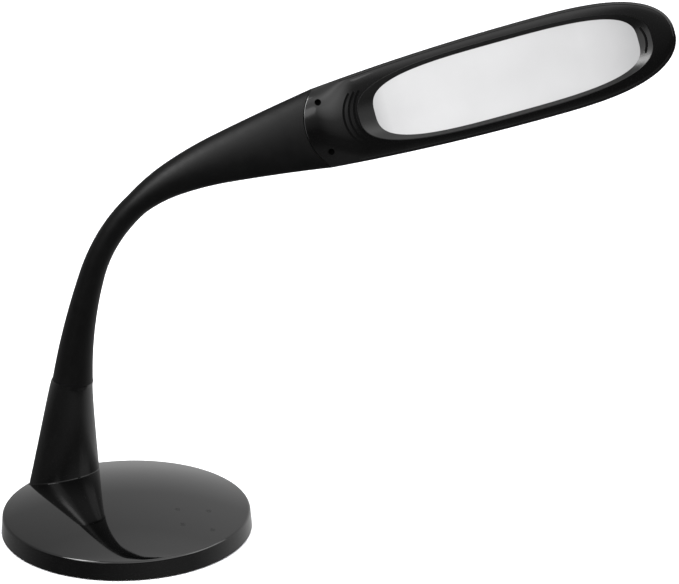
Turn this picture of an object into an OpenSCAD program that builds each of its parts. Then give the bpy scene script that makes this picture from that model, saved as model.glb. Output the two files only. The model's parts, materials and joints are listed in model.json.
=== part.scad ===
// LED task lamp: round weighted base, oval stem, bendable neck and a long oval LED head.
// The bendable neck is eight hinged sections, pitch and sway in turn.
// Millimetres. Origin at the middle of the base's underside, +X along the arm's reach, +Z up.

/* [Base] */
// Outside diameter of the base
base_d = 185; // [170:1:200]
// Height of the base's rim above the table
base_rim_z = 13.9; // [13:0.1:16]
// Rise of the domed top from the rim to the middle
base_rise = 14; // [11:0.1:16]
// Rounding of the base's upper edge
base_edge = 2.4; // [1.8:0.1:3]
// Lean of the base's side wall, inwards from its foot to its rim
base_lean = 1; // [0.6:0.1:1.2]
// Height of the cover's lower edge above the table
cover_lift = 0.8; // [0.4:0.1:1.2]
// Thickness of the moulded covers
wall = 2.2; // [1.8:0.1:2.6]
// Thickness of the rubber pad under the base
pad_t = 1.5; // [1.2:0.1:2]
// Thickness of the bottom plate
plate_t = 2; // [1.5:0.1:2.5]
// Thickness of the iron weight
weight_t = 7.5; // [6:0.1:7.5]
// Turn of the base's front from the arm's direction, in degrees
base_turn = -48.7; // [-80:0.1:0]
// Distance of the four plate screws from the middle, as a share of the base's radius
screw_share = 0.7135; // [0.69:0.0005:0.74]
// Direction of the power inlet, in degrees from +X
jack_dir = 90; // [70:1:105]

/* [Touch control] */
// Length of the control board, along the base's front direction
board_l = 62; // [56:1:66]
// Width of the control board
board_w = 46; // [42:1:50]
// Distance of the board's middle from the front of the rim
board_in = 37.5; // [36.5:0.5:39]
// Sideways distance of the board's middle, as a share of the base's radius
board_share = 0.195; // [0.18:0.005:0.21]
// Radius of a touch pad
touch_r = 5; // [4:0.5:6]

/* [Stem] */
// Distance of the stem's screws from the rim
stem_in = 17.7; // [17.5:0.1:20]
// Half of the stem's width at the foot
stem_half_w = 29.1; // [28:0.1:30]
// Distance of the foot's widest line behind the stem's screws
stem_set = 6.5; // [6:0.1:7.5]
// Depth of the stem's foot in front of its widest line
stem_front_d = 29.6; // [27:0.1:31]
// Half of the stem's depth at the top
stem_half_d = 15; // [14.5:0.1:16]
// Half of the stem's width at the top
stem_top_w = 15.4; // [15:0.1:16.5]
// Thickness of the stem's solid top
stem_top_t = 16; // [12:0.5:20]

/* [Neck] */
// Shift of the neck's foot from the stem's foot along X
neck_shift_x = 7.87; // [6:0.01:9]
// Shift of the neck's foot from the stem's foot along Y
neck_shift_y = -4.89; // [-6:0.01:-4]
// Height of the neck's foot
neck_z0 = 97.2; // [90:0.1:105]
// Slope of the neck at its foot, in degrees above the table
neck_a0 = 84.3; // [82:0.1:86]
// Length of the neck's lower reach
reach_1 = 85; // [80:1:90]
// Turn of the neck's lower reach, in degrees
turn_1 = 11.5; // [8:0.1:15]
// Length of the bend
reach_2 = 100; // [95:1:105]
// Turn of the bend, in degrees
turn_2 = 45.3; // [40:0.1:48]
// Length of the neck's upper reach
reach_3 = 40; // [36:1:44]
// Turn of the neck's upper reach, in degrees
turn_3 = 8.8; // [5:0.1:11]
// Length of the run into the head
reach_4 = 73; // [70:1:80]
// Turn of the run into the head, in degrees
turn_4 = 2.6; // [1:0.1:5]
// Distance of the first hinge from the neck's foot
hinge_first = 12; // [12:0.1:13]
// Distance between hinges
hinge_step = 19.6; // [19.4:0.1:20.5]
// Sleeve radius at the neck's foot
neck_foot_r = 15.1; // [14.8:0.1:15.3]
// Sleeve radius at the thinnest place, in the bend
neck_thin_r = 8.9; // [8.75:0.05:9]
// Sleeve radius at the last hinge
neck_top_r = 9.1; // [9.05:0.05:9.6]
// Wall of the soft sleeve
sleeve_t = 2.2; // [2:0.05:2.25]
// Gap between neighbouring sleeve sections
sleeve_gap = 0.35; // [0.3:0.05:0.5]
// Largest bend of one hinge, in degrees
hinge_bend = 13; // [10:1:14]

/* [Hinges] */
// Radius of a hinge barrel
barrel_r = 3.6; // [3.4:0.05:3.7]
// Half length of a hinge barrel
barrel_half = 2.8; // [2.7:0.05:2.85]
// Thickness of a hinge cheek
cheek_t = 1.2; // [1:0.05:1.25]
// Radius of a hinge pin
pin_r = 1.3; // [1.1:0.05:1.4]
// Running clearance of a hinge pin
pin_gap = 0.06; // [0.04:0.01:0.08]
// Gap beside the moving faces of a hinge
side_gap = 0.35; // [0.3:0.05:0.4]
// Radius of the neck's core tube
core_r = 3.5; // [3.3:0.05:3.6]
// Radius of the wire passage
wire_bore_r = 1.1; // [1.05:0.05:1.15]
// Radius of the wire
wire_r = 0.95; // [0.8:0.05:1]

/* [Head] */
// Length of the head from the seam's line to the tip
head_l = 263; // [255:1:270]
// Largest half width of the head
head_half_w = 36.1; // [35.5:0.1:38]
// Half width of the head at the seam's line
head_seam_w = 29.5; // [29:0.1:31]
// Distance of the widest place from the seam's line
head_wide_x = 157; // [150:1:164]
// Depth of the domed back
head_back = 20; // [19.5:0.1:22]
// Depth of the back at the seam's line
seam_back = 16.5; // [16:0.1:18]
// Depth of the front at the seam's line
seam_front = 8; // [7:0.1:9]
// Depth of the front around the light panel
head_front = 3; // [2.8:0.1:3.5]
// Roll of the head about its length, in degrees from facing down
head_roll = -108; // [-125:1:0]
// Width of the seat around the back cover's rim
rim_w = 3.2; // [2.8:0.1:3.6]
// Distance of the light panel's near end from the seam's line
panel_start = 40.4; // [39:0.1:44]
// Distance of the panel's far end from the head's tip
panel_tip = 26.9; // [26:0.1:30]
// Width of the bezel beside the panel
panel_side = 10.2; // [9.8:0.1:11]
// Length of the sloped wall at the panel's ends
slope_end = 10.7; // [10:0.1:12]
// Length of the sloped wall along the panel's sides
slope_side = 3.5; // [3:0.1:4]
// Thickness of the diffuser
diffuser_t = 2; // [1.6:0.1:2.2]
// Depth of the mixing space behind the diffuser
mix_h = 6; // [5:0.1:6]
// Thickness of the LED board
led_board_t = 1.6; // [1.2:0.1:1.6]
// Number of LEDs in each row
led_count = 12; // [8:1:14]

/* [Hidden] */
$fn = 72;
base_r = base_d / 2;
screw_ring = screw_share * base_r;
board_x = base_r - board_in;
board_y = board_share * base_r;
stem_back = base_r - stem_in;
stem_back_d = stem_in - stem_set - 3.4;
plate_z = pad_t;
weight_z = plate_z + plate_t;
weight_top = weight_z + weight_t;
dome_r = (base_r * base_r + base_rise * base_rise) / (2 * base_rise);
inner_r = base_r - wall;
plate_r = inner_r - 0.2;
weight_r = base_r - 9;
board_z = 8.2;
board_t = 1.6;
board_top = board_z + board_t;
boss_r = 3.8;
jack_w = 9;
jack_in = 14;
jack_h = 7.8;
jack_z = weight_z + jack_h / 2;
jack_face = inner_r - 0.6;
lead_rise_r = base_r - 28.5;
base_wire_r = 1.2;
base_wire_z = weight_top + base_wire_r;
neck_len = reach_1 + reach_2 + reach_3 + reach_4;
hinges = 8;
shoulder_s = hinge_first + (hinges - 1) * hinge_step;
thin_s = hinge_first + 5 * hinge_step;
foot_x = -stem_back * cos(base_turn);
foot_y = -stem_back * sin(base_turn);
foot_z = 16;
neck_x0 = foot_x + neck_shift_x;
arm_y = foot_y + neck_shift_y;
stem_floor_t = 4;
cheek_in = barrel_half + side_gap;
cheek_out = cheek_in + cheek_t;
cap_low = barrel_r + 0.8;
cap_high = cap_low + 2;
tube_short = barrel_r + 1;
anchor_r = 6;
sides = 40;
panel_a = (head_l - panel_tip - panel_start) / 2;
panel_b = head_half_w - panel_side;
panel_x = panel_start + panel_a;
panel_n = 3.25;
opening_a = panel_a + slope_end;
opening_b = panel_b + slope_side;
opening_n = 2.9;
opening_x = panel_x - 1.1;
crest_x = 0.418 * head_l;
blend_x = 0.228 * head_l;
seam_r = 42;
seam_mid = -11.2;
head_start = seam_mid - 3.5;
seam_gap = 0.1;
screw_x = 3;
screw_y = head_seam_w - 11;
vent_half = 18.5;
vent_w = 1.6;
vent_r = opening_b - 2.4;
vent_x = [for (d = [10.6, 6.6, 2.7]) opening_x - opening_a - d];
tip_r = 17;
tip_w = 1.8;
tip_x = panel_x + panel_a + 5.6 - tip_r;
dimple_x = head_l - 10.6;
led_z = diffuser_t + mix_h;
mix_a = panel_a - 19;
mix_b = panel_b - 6.5;
mix_t = 2;
led_a = mix_a - 14;
led_b = mix_b - 10;
plate_a = mix_a - 22;
plate_b = mix_b - 6;
post_a = plate_a - 14;
post_b = plate_b - 6;
heat_t = 1.5;
heat_z = led_z + led_board_t;
post_z = heat_z + heat_t;

// Touch marks on the base, along and across the front direction
touch_at = [for (p = [[-12.4, -3.8], [-0.7, 16.2], [6.2, -13.6], [21, 2]])
    [board_x + p[0], board_y + p[1]]];
// Screws of the control board, along and across the front direction
board_screw_at = [
    [board_x - board_l / 2 + 5, board_y - board_w / 2 + 7],
    [board_x - board_l / 2 + 5, board_y + board_w / 2 - 7],
    [board_x + board_l / 2 - 10, board_y - board_w / 2 + 6],
    [board_x + 11, board_y + board_w / 2 - 6]
];

// The neck's path: four arcs, then straight through the head
reaches = [reach_1, reach_2, reach_3, reach_4];
turns = [turn_1, turn_2, turn_3, turn_4];
function along(p, s, k) =
    abs(k) < 0.0001
    ? [p[0] + s * cos(p[2]), p[1] + s * sin(p[2]), p[2]]
    : [p[0] + (sin(p[2]) - sin(p[2] - k * s)) * 180 / PI / k,
       p[1] + (cos(p[2] - k * s) - cos(p[2])) * 180 / PI / k,
       p[2] - k * s];
function walk(p, i, s) =
    i == len(reaches) ? along(p, s, 0)
    : s <= reaches[i] ? along(p, s, turns[i] / reaches[i])
    : walk(along(p, reaches[i], turns[i] / reaches[i]), i + 1, s - reaches[i]);
function neck(s) = walk([neck_x0, neck_z0, neck_a0], 0, s);
function hinge_s(k) = k == 0 ? 0 : hinge_first + (k - 1) * hinge_step;
function hinge(k) = neck(hinge_s(k));
function sleeve_r(s) =
    s < thin_s ? neck_thin_r + (neck_foot_r - neck_thin_r) * pow(1 - s / thin_s, 1.7)
    : neck_thin_r + (neck_top_r - neck_thin_r) * pow((s - thin_s) / (shoulder_s - thin_s), 1.8);
neck_r = [for (k = [0:hinges]) sleeve_r(hinge_s(k))];
function chord(k) = let (p = hinge(k), q = hinge(k + 1)) [norm([q[0] - p[0], q[1] - p[1]]),
    atan2(q[1] - p[1], q[0] - p[0])];
function ball_r(k) = 1.15 * neck_r[k];
function bore_r(k) = min(neck_r[k], neck_r[k + 1]) - sleeve_t;
function kink(k) = chord(k - 1)[1] - chord(k)[1];
function seat_h(k) = sqrt(pow(ball_r(k), 2) - pow(bore_r(k - 1), 2)) + bore_r(min(k, hinges - 1)) *
    sin(hinge_bend + kink(k)) + 0.4;
seam = neck(neck_len);

// Places in the head's own section: y across the panel, z towards the back
function spoon(s, y, z) =
    let (p = neck(s), n = y * sin(head_roll) + z * cos(head_roll))
    [p[0] - n * sin(p[2]), arm_y + y * cos(head_roll) - z * sin(head_roll), p[1] + n * cos(p[2])];

// Half width, back depth and front depth of the head at x, and the fullness of its back
function head_w(x) =
    x < head_wide_x ? head_half_w - (head_half_w - head_seam_w) * pow((head_wide_x - x) / head_wide_x, 2)
    : head_half_w * pow(max(0, 1 - pow((x - head_wide_x) / (head_l - head_wide_x), 3.1)), 0.445);
function head_b(x) =
    x < crest_x ? head_back - (head_back - seam_back) * pow((crest_x - x) / crest_x, 2)
    : head_back * pow(max(0, 1 - pow((x - crest_x) / (head_l - crest_x), 2.2)), 0.6);
function head_f(x) = let (t = min(1, max(0, x / (opening_x - opening_a))))
    seam_front + (head_front - seam_front) * t * t * (3 - 2 * t);
function back_bow(x) = 0.5 + 0.5 * min(1, max(0, (x - head_start) / (blend_x - head_start)));
function front_bow(x) = 0.5 - 0.2 * min(1, max(0, (x - head_start) / blend_x));

// Same values along the shoulder between the last hinge and the seam
function shoulder_t(s) = (s - shoulder_s) / (neck_len - shoulder_s);
function shoulder_w(s) = let (t = shoulder_t(s))
    neck_r[hinges] + (head_seam_w - neck_r[hinges]) * pow(t, 1.22) + 0.6 * sin(180 * t);
function shoulder_b(s) = neck_r[hinges] + (seam_back - neck_r[hinges]) * shoulder_t(s);
function shoulder_f(s) = neck_r[hinges] + (seam_front - neck_r[hinges]) * shoulder_t(s);

function bow(a, e) = pow(abs(sin(a)), 2 * e);
function shoulder_ring(s, cut) = [for (i = [0:sides - 1]) let (a = 360 * i / sides)
    spoon(s, (shoulder_w(s) - cut) * cos(a),
        (a <= 180 ? shoulder_b(s) - cut : -(shoulder_f(s) - cut)) * bow(a, 0.5))];
function spread(x0, x1, n) = [for (i = [0:n]) x0 + (x1 - x0) * sin(90 * i / n)];
function oval(a, b, n, x, z) = [for (i = [0:63]) let (c = cos(5.625 * i), s = sin(5.625 * i))
    [x + a * sign(c) * pow(abs(c), 2 / n), b * sign(s) * pow(abs(s), 2 / n), z]];
function flat_oval(a, b, n) = [for (p = oval(a, b, n, panel_x, 0)) [p[0], p[1]]];

// Height of the base's domed top at a distance from the middle
function dome_z(r, down) = base_rim_z + base_rise - dome_r + sqrt(pow(dome_r - down, 2) - r * r);
function front_at(p) = [p[0] * cos(base_turn) - p[1] * sin(base_turn),
    p[0] * sin(base_turn) + p[1] * cos(base_turn)];

// Half outline of the base's cover, with its rounded upper edge
function cover_line(foot_r, z0, lean_in, e, down) =
    let (r = foot_r - lean_in,
        c = base_rim_z + base_rise - dome_r + sqrt(pow(dome_r - down - e, 2) - pow(r - e, 2)),
        lean = asin((r - e) / (dome_r - down - e)))
    concat([[0, z0], [foot_r, z0]],
        [for (i = [0:5]) let (a = (90 - lean) * i / 5) [r - e + e * cos(a), c + e * sin(a)]],
        [for (i = [9:-1:0]) let (x = (r - e) * i / 10) [x, dome_z(x, down)]]);

// Solid through a row of rings that all have the same number of points
module loft(rings) {
    n = len(rings[0]);
    m = len(rings);
    polyhedron(
        points = [for (r = rings) each r],
        faces = concat(
            [[for (i = [0:n - 1]) i]],
            [for (j = [0:m - 2]) for (i = [0:n - 1])
                each [[j * n + i, (j + 1) * n + i, (j + 1) * n + (i + 1) % n],
                      [j * n + i, (j + 1) * n + (i + 1) % n, j * n + (i + 1) % n]]],
            [[for (i = [n - 1:-1:0]) (m - 1) * n + i]]));
}

module in_base() rotate([0, 0, base_turn]) children();

module in_head() translate([seam[0], arm_y, seam[1]]) rotate([0, -seam[2], 0])
    rotate([head_roll, 0, 0]) children();

// Puts a part at a hinge, with its z along the slope given
module at_hinge(k, a) let (p = hinge(k)) translate([p[0], arm_y, p[1]]) rotate([0, 90 - a, 0]) children();

// Turns a sway hinge's parts so that their pin lies in the arm's plane
module pin_way(k) rotate([0, 0, k % 2 == 1 ? 0 : 90]) children();

// Round rod through the places given
module rod(places, r) {
    for (i = [0:len(places) - 2]) let (a = places[i], v = places[i + 1] - a, l = norm(v)) {
        translate(a) rotate([0, acos(v[2] / l), atan2(v[1], v[0])]) cylinder(r = r, h = l);
        if (i > 0) translate(a) sphere(1.08 * r);
    }
}

module foot_pad() color("#1c1c1e") cylinder(r = plate_r - 3, h = pad_t);

module plate_holes(r, z, h) in_base() for (a = [57:90:327]) rotate([0, 0, a]) translate([screw_ring, 0, z])
    cylinder(r = r, h = h);

module base_plate() color("#2a2a2c") difference() {
    translate([0, 0, plate_z]) cylinder(r = plate_r, h = plate_t);
    plate_holes(1.6, plate_z - 1, plate_t + 2);
    plate_holes(3.2, plate_z - 1, 2);
}

module plate_screws() color("#9a9a9e") {
    plate_holes(3, plate_z + 0.05, 0.95);
    plate_holes(1.5, plate_z + 0.5, 9);
}

module stem_lugs(r, z, h) translate([foot_x, foot_y, z]) in_base() for (y = [-19, 19]) translate([0, y, 0])
    cylinder(r = r, h = h);

module base_weight() color("#4a4a4e") difference() {
    translate([0, 0, weight_z]) cylinder(r = weight_r, h = weight_t);
    plate_holes(boss_r + 0.4, weight_z - 1, weight_t + 2);
    stem_lugs(2.1, weight_z - 1, weight_t + 2);
    stem_lugs(4.2, weight_z - 1, 4);
    in_base() translate([board_x - board_l / 2 - 2, board_y - board_w / 2 - 2, board_z - 2.2])
        cube([board_l + 12, board_w + 4, 20]);
    rotate([0, 0, jack_dir]) {
        translate([jack_face - jack_in - 3, -jack_w / 2 - 0.6, weight_z - 1])
            cube([40, jack_w + 1.2, weight_t + 2]);
        translate([lead_rise_r - 2.5, -2.5, jack_z - 2]) cube([40, 5, weight_t + 2]);
    }
}

module stem_outline(cut, z0, z1, top) let (top_at = neck(-top), p = [top_at[0], top_at[1]],
        d = [stem_half_d - cut, stem_half_d - cut]) loft(concat(
    [for (i = [0:7]) let (t = i / 8, z = z0 + (z1 - z0) * t) stem_ring(z, cut)],
    [[for (i = [0:sides - 1]) let (q = stem_oval(stem_top_w - cut, d, 360 * i / sides))
        [p[0] + q[0] * cos(90 - neck_a0), arm_y + q[1], p[1] - q[0] * sin(90 - neck_a0)]]]));
// An oval with its own depth in front of its widest line and behind it
function stem_oval(w, d, t) = front_at([d[cos(t) > 0 ? 0 : 1] * cos(t), w * sin(t)]);
function stem_ring(z, cut) =
    let (t = max(0, (z - foot_z) / (neck_z0 - foot_z)),
        s = max(0, 1 - t),
        w = stem_top_w + (stem_half_w - stem_top_w) * s,
        d = [for (foot_d = [stem_front_d, stem_back_d]) stem_half_d + (foot_d - stem_half_d) * s - cut],
        set = front_at([-stem_set * sqrt(s), 0]),
        c = [foot_x + neck_shift_x * t + set[0], foot_y + neck_shift_y * t + set[1]])
    [for (i = [0:sides - 1]) let (q = stem_oval(w - cut, d, 360 * i / sides))
        [c[0] + q[0], c[1] + q[1], z - q[0] * tan(t * (90 - neck_a0))]];

module stem_shell() color("#141416") difference() {
    union() {
        difference() {
            stem_outline(0, weight_top, neck_z0 - 12, 0);
            stem_outline(wall + 0.2, weight_top + stem_floor_t, neck_z0 - stem_top_t - 14, stem_top_t);
        }
        stem_lugs(5.5, weight_top + 1, 14);
    }
    stem_lugs(1.6, weight_top - 1, 12);
    at_hinge(0, neck_a0) translate([0, 0, -40]) cylinder(r = anchor_r + 0.15, h = 60);
    in_base() {
        translate([-stem_back, -2.2, weight_top - 1]) cube([stem_front_d, 4.4, 2 * base_wire_r + 1.4]);
        translate([-stem_back, 0, weight_top - 1]) cylinder(r = 2.6, h = 9);
    }
}

module stem_screws() color("#9a9a9e") {
    stem_lugs(3.8, weight_z + 0.2, 2.8);
    stem_lugs(1.5, weight_z + 1, weight_t + 8);
}

module cover_bosses() {
    plate_holes(boss_r, weight_z, dome_z(screw_ring, wall / 2) - weight_z);
    in_base() for (p = board_screw_at) translate([p[0], p[1], board_top])
        cylinder(r = 2.6, h = dome_z(norm(p), wall / 2) - board_top);
}

module base_cover() color("#141416") difference() {
    union() {
        difference() {
            rotate_extrude() polygon(cover_line(base_r, cover_lift, base_lean, base_edge, 0));
            rotate_extrude() polygon(cover_line(inner_r, -1, 0, base_edge - 1, wall));
        }
        cover_bosses();
    }
    stem_outline(-0.2, weight_top - 1, neck_z0 - 12, 0);
    plate_holes(1.65, weight_z - 1, 9);
    in_base() for (p = board_screw_at) translate([p[0], p[1], board_top - 1]) cylinder(r = 1, h = 3.2);
    rotate([0, 0, jack_dir]) translate([inner_r - 4, 0, jack_z]) rotate([0, 90, 0])
        cylinder(r = 3.6, h = 12);
}

module board_outline() intersection() {
    translate([board_x - board_l / 2, board_y - board_w / 2]) square([board_l, board_w]);
    circle(r = base_r - 8.4);
}

module control_board() color("#1f5a36") in_base() {
    difference() {
        translate([0, 0, board_z]) linear_extrude(board_t) board_outline();
        for (p = board_screw_at) translate([p[0], p[1], board_z - 1]) cylinder(r = 1.2, h = 4);
    }
    translate([board_x - 2, board_y - 4, board_top]) cube([7, 7, 1.2]);
    translate([board_x + 8, board_y + 2, board_top]) cube([6, 9, 1.6]);
}

module board_screws() color("#9a9a9e") in_base() for (p = board_screw_at) {
    translate([p[0], p[1], board_z - 1.2]) cylinder(r = 2, h = 1.2);
    translate([p[0], p[1], board_z - 0.6]) cylinder(r = 0.9, h = 4);
}

module touch_pads() color("#b98a4a") in_base() for (p = touch_at) translate([p[0], p[1], board_top])
    cylinder(r = touch_r, h = dome_z(norm(p) + touch_r, wall) - 0.1 - board_top);

module dc_jack() color("#202022") rotate([0, 0, jack_dir]) {
    difference() {
        translate([jack_face - jack_in, -jack_w / 2, weight_z]) cube([jack_in, jack_w, jack_h]);
        translate([jack_face - 9.5, 0, jack_z]) rotate([0, 90, 0]) cylinder(r = 3.1, h = 20);
    }
    translate([jack_face - 10.5, 0, jack_z]) rotate([0, 90, 0]) cylinder(r = 1.05, h = 9.5);
}

module power_lead() color("#303034") {
    way = [cos(jack_dir), sin(jack_dir)];
    jack_end = (jack_face - jack_in) * way;
    rise = lead_rise_r * way;
    board_end = front_at([board_x - board_l / 2 + 5, board_y + 10]);
    rod([
        [jack_end[0], jack_end[1], jack_z],
        [rise[0], rise[1], jack_z],
        [rise[0], rise[1], base_wire_z],
        [board_end[0], board_end[1], base_wire_z],
        [board_end[0], board_end[1], board_top]
    ], base_wire_r);
}

// Parts of a hinge: the barrel that the lower core carries and the cheeks that the upper core carries
module barrel() {
    rotate([90, 0, 0]) cylinder(r = barrel_r, h = 2 * barrel_half, center = true);
    translate([-2.6, -barrel_half, -tube_short - 0.5]) cube([5.2, 2 * barrel_half, tube_short + 0.5]);
}

module pin_holes() for (t = [-1, 1]) rotate([90 * t, 0, 0]) translate([0, 0, 1.45])
    cylinder(r = pin_r + pin_gap, h = 9);

module cheeks() {
    for (t = [-1, 1]) {
        rotate([90 * t, 0, 0]) translate([0, 0, cheek_in]) cylinder(r = barrel_r, h = cheek_t);
        translate([-2.4, t > 0 ? cheek_in : -cheek_out, 0]) cube([4.8, cheek_t, cap_high]);
        rotate([90 * t, 0, 0]) translate([0, 0, 1.75]) cylinder(r = pin_r, h = cheek_in - 1.5);
    }
    translate([-2.4, -cheek_out, cap_low]) cube([4.8, 2 * cheek_out, cap_high - cap_low]);
}

module core_tube(z0, z1) translate([0, 0, z0]) cylinder(r = core_r, h = z1 - z0);

module core_seat(k) translate([0, 0, seat_h(k)]) cylinder(r = bore_r(min(k, hinges - 1)) - 0.1, h = 1.2);

module core_section(k) color("#8b8d90") difference() {
    c = chord(k);
    union() {
        at_hinge(k, hinge(k)[2]) pin_way(k) cheeks();
        at_hinge(k, c[1]) {
            core_tube(cap_high - 0.6, c[0] - tube_short);
            core_seat(k);
        }
        at_hinge(k + 1, hinge(k + 1)[2]) pin_way(k + 1) barrel();
    }
    at_hinge(k + 1, hinge(k + 1)[2]) pin_way(k + 1) pin_holes();
    at_hinge(k, c[1]) translate([0, 0, 2]) cylinder(r = wire_bore_r, h = c[0] + 8);
}

module neck_core_0() color("#8b8d90") difference() {
    c = chord(0);
    union() {
        at_hinge(0, neck_a0) {
            translate([0, 0, -stem_top_t - 7]) cylinder(r = anchor_r, h = stem_top_t + 8);
            cylinder(r = bore_r(0) - 0.1, h = 2.2);
        }
        at_hinge(0, c[1]) core_tube(1.5, c[0] - tube_short);
        at_hinge(1, hinge(1)[2]) pin_way(1) barrel();
    }
    at_hinge(1, hinge(1)[2]) pin_way(1) pin_holes();
    at_hinge(0, c[1]) translate([0, 0, -60]) cylinder(r = wire_bore_r, h = 60 + c[0] + 8);
}
module neck_core_1() core_section(1);
module neck_core_2() core_section(2);
module neck_core_3() core_section(3);
module neck_core_4() core_section(4);
module neck_core_5() core_section(5);
module neck_core_6() core_section(6);
module neck_core_7() core_section(7);

// Places of the last core tube inside the shoulder, which lies nearer the back as the front flattens
core_back = 62.8;
core_end_s = neck_len - core_back;
core_mid_s = (shoulder_s + 6 + core_end_s) / 2;
function core_line() =
    [spoon(shoulder_s + 8, 0, 0), spoon(core_mid_s, 0, 1.6), spoon(core_end_s, 0, 3.4)];

module neck_core_8() color("#8b8d90") {
    p = core_line();
    difference() {
        union() {
            at_hinge(hinges, hinge(hinges)[2]) {
                pin_way(hinges) cheeks();
                core_tube(cap_high - 0.6, 9);
                core_seat(hinges);
            }
            rod(p, core_r);
        }
        rod(concat([hinge_place(hinges)], p, [p[2] + (p[2] - p[1])]), wire_bore_r);
    }
}
function hinge_place(k) = [hinge(k)[0], arm_y, hinge(k)[1]];

module neck_nut() color("#8b8d90") at_hinge(0, neck_a0) difference() {
    translate([0, 0, -stem_top_t - 5]) cylinder(r = 9, h = 5, $fn = 6);
    translate([0, 0, -60]) cylinder(r = anchor_r + 0.1, h = 70);
}

// One section of the soft sleeve: domed above, cupped below, so that it turns on its neighbour
module sleeve_section(k, foot) color("#232326") {
    c = chord(k);
    rise = (neck_r[k + 1] - neck_r[k]) / c[0];
    top = c[0] + ball_r(k + 1) + 2;
    difference() {
        at_hinge(k, c[1]) difference() {
            translate([0, 0, -0.5]) intersection() {
                cylinder(r1 = neck_r[k] - 0.5 * rise, r2 = neck_r[k] + rise * top, h = top + 0.5);
                union() {
                    cylinder(r = 1.6 * neck_r[k], h = c[0] + 0.5);
                    translate([0, 0, c[0] + 0.5]) sphere(ball_r(k + 1));
                }
            }
            if (!foot) sphere(ball_r(k) + sleeve_gap);
            translate([0, 0, -9]) cylinder(r = bore_r(k), h = 80);
            translate([0, 0, c[0] + 1])
                cylinder(r1 = bore_r(k) - 0.35, r2 = bore_r(k) - 0.35 + ball_r(k + 1) / 6, h = ball_r(k + 1));
        }
        if (foot) at_hinge(k, neck_a0) translate([-30, -30, -59.95]) cube(60);
    }
}
module neck_sleeve_0() sleeve_section(0, true);
module neck_sleeve_1() sleeve_section(1, false);
module neck_sleeve_2() sleeve_section(2, false);
module neck_sleeve_3() sleeve_section(3, false);
module neck_sleeve_4() sleeve_section(4, false);
module neck_sleeve_5() sleeve_section(5, false);
module neck_sleeve_6() sleeve_section(6, false);
module neck_sleeve_7() sleeve_section(7, false);

module seam_post(r) in_head() translate([seam_mid + seam_r, 0, -60]) cylinder(r = r, h = 120);

module neck_shoulder() color("#232326") difference() {
    loft([for (i = [0:12]) shoulder_ring(shoulder_s + (neck_len + 6 - shoulder_s) * i / 12, 0)]);
    loft([for (i = [0:10])
        shoulder_ring(shoulder_s + 16 + (neck_len + 8 - shoulder_s - 16) * i / 10, sleeve_t)]);
    translate(hinge_place(hinges)) sphere(ball_r(hinges) + sleeve_gap);
    at_hinge(hinges, hinge(hinges)[2]) cylinder(r = bore_r(hinges - 1), h = 22);
    seam_post(seam_r + seam_gap);
}

// Place in the head where the wire comes level with the LED board's back
function wire_turn() = spoon(neck_len + panel_start - 9, 0, heat_z + wire_r);

module wire_section(k) color("#303034") let (c = chord(k)) at_hinge(k, c[1]) translate([0, 0, cap_low])
    cylinder(r = wire_r, h = c[0] - 1.2 - cap_low);

module neck_wire_0() color("#303034") {
    p = hinge_place(0);
    c = chord(0);
    v = [cos(c[1]), 0, sin(c[1])];
    board_end = front_at([board_x - board_l / 2 + 1.6, board_y - board_w / 2 + 2.5]);
    stem_foot = front_at([-stem_back, 0]);
    rod([
        [board_end[0], board_end[1], board_top],
        [board_end[0], board_end[1], weight_top + 1.1 * wire_r],
        [stem_foot[0], stem_foot[1], weight_top + 1.1 * wire_r],
        [stem_foot[0], stem_foot[1], weight_top + 9],
        p - 28 * v,
        p + (c[0] - 1.2) * v
    ], wire_r);
}
module neck_wire_1() wire_section(1);
module neck_wire_2() wire_section(2);
module neck_wire_3() wire_section(3);
module neck_wire_4() wire_section(4);
module neck_wire_5() wire_section(5);
module neck_wire_6() wire_section(6);
module neck_wire_7() wire_section(7);
module neck_wire_8() color("#303034") let (p = core_line())
    rod([
        p[0],
        p[1],
        p[2],
        wire_turn(),
        spoon(neck_len + panel_x - mix_a + 8, 0, heat_z + wire_r)
    ], wire_r);

// Bracket that holds the core's end and takes the two head screws
module neck_clamp() color("#8b8d90") {
    p = core_line();
    v = (p[2] - p[1]) / norm(p[2] - p[1]);
    difference() {
        union() {
            rod([p[2] - 11 * v, p[2] + 3 * v], core_r + 1.9);
            in_head() {
                translate([-core_back - 3.2, -5, 4.2]) cube([core_back + 9.2, 10, 2.4]);
                translate([screw_x - 6, -screw_y - 4.5, 0]) cube([12, 2 * screw_y + 9, 4.6]);
            }
        }
        rod([p[2] - 20 * v, p[2]], core_r + 0.08);
        rod([p[2] - 5 * v, p[2], wire_turn()], wire_r + 0.6);
        in_head() for (t = [-1, 1]) translate([screw_x, t * screw_y, -9]) cylinder(r = 1.3, h = 30);
    }
}

function half_ring(x, w, d, e, from) =
    [for (i = [0:20]) let (a = from + 9 * i) [x, w * cos(a), d * bow(a, e)]];

module front_solid() loft([for (x = spread(head_start, head_l - 0.1, 22))
    half_ring(x, head_w(x), -head_f(x), front_bow(x), 180)]);

module back_solid() loft([for (x = spread(head_start, head_l - 0.1, 22))
    half_ring(x, head_w(x), head_b(x), back_bow(x), 0)]);

module back_hollow() loft([for (x = spread(head_start - 4, head_l - 5, 20)) concat(
    [[x, head_w(x) - rim_w, -1]],
    half_ring(x, head_w(x) - rim_w, head_b(x) - wall, back_bow(x), 0),
    [[x, rim_w - head_w(x), -1]])]);

module head_end() union() {
    translate([seam_mid + seam_r, 0, -40]) cylinder(r = seam_r, h = 80);
    translate([seam_mid + seam_r, -80, -40]) cube([300, 160, 80]);
}

module arc_slot(x, r, w, half, turn) translate([x, 0, -9]) rotate([0, 0, turn - half])
    rotate_extrude(angle = 2 * half) translate([r - w / 2, 0]) square([w, 18]);

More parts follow.
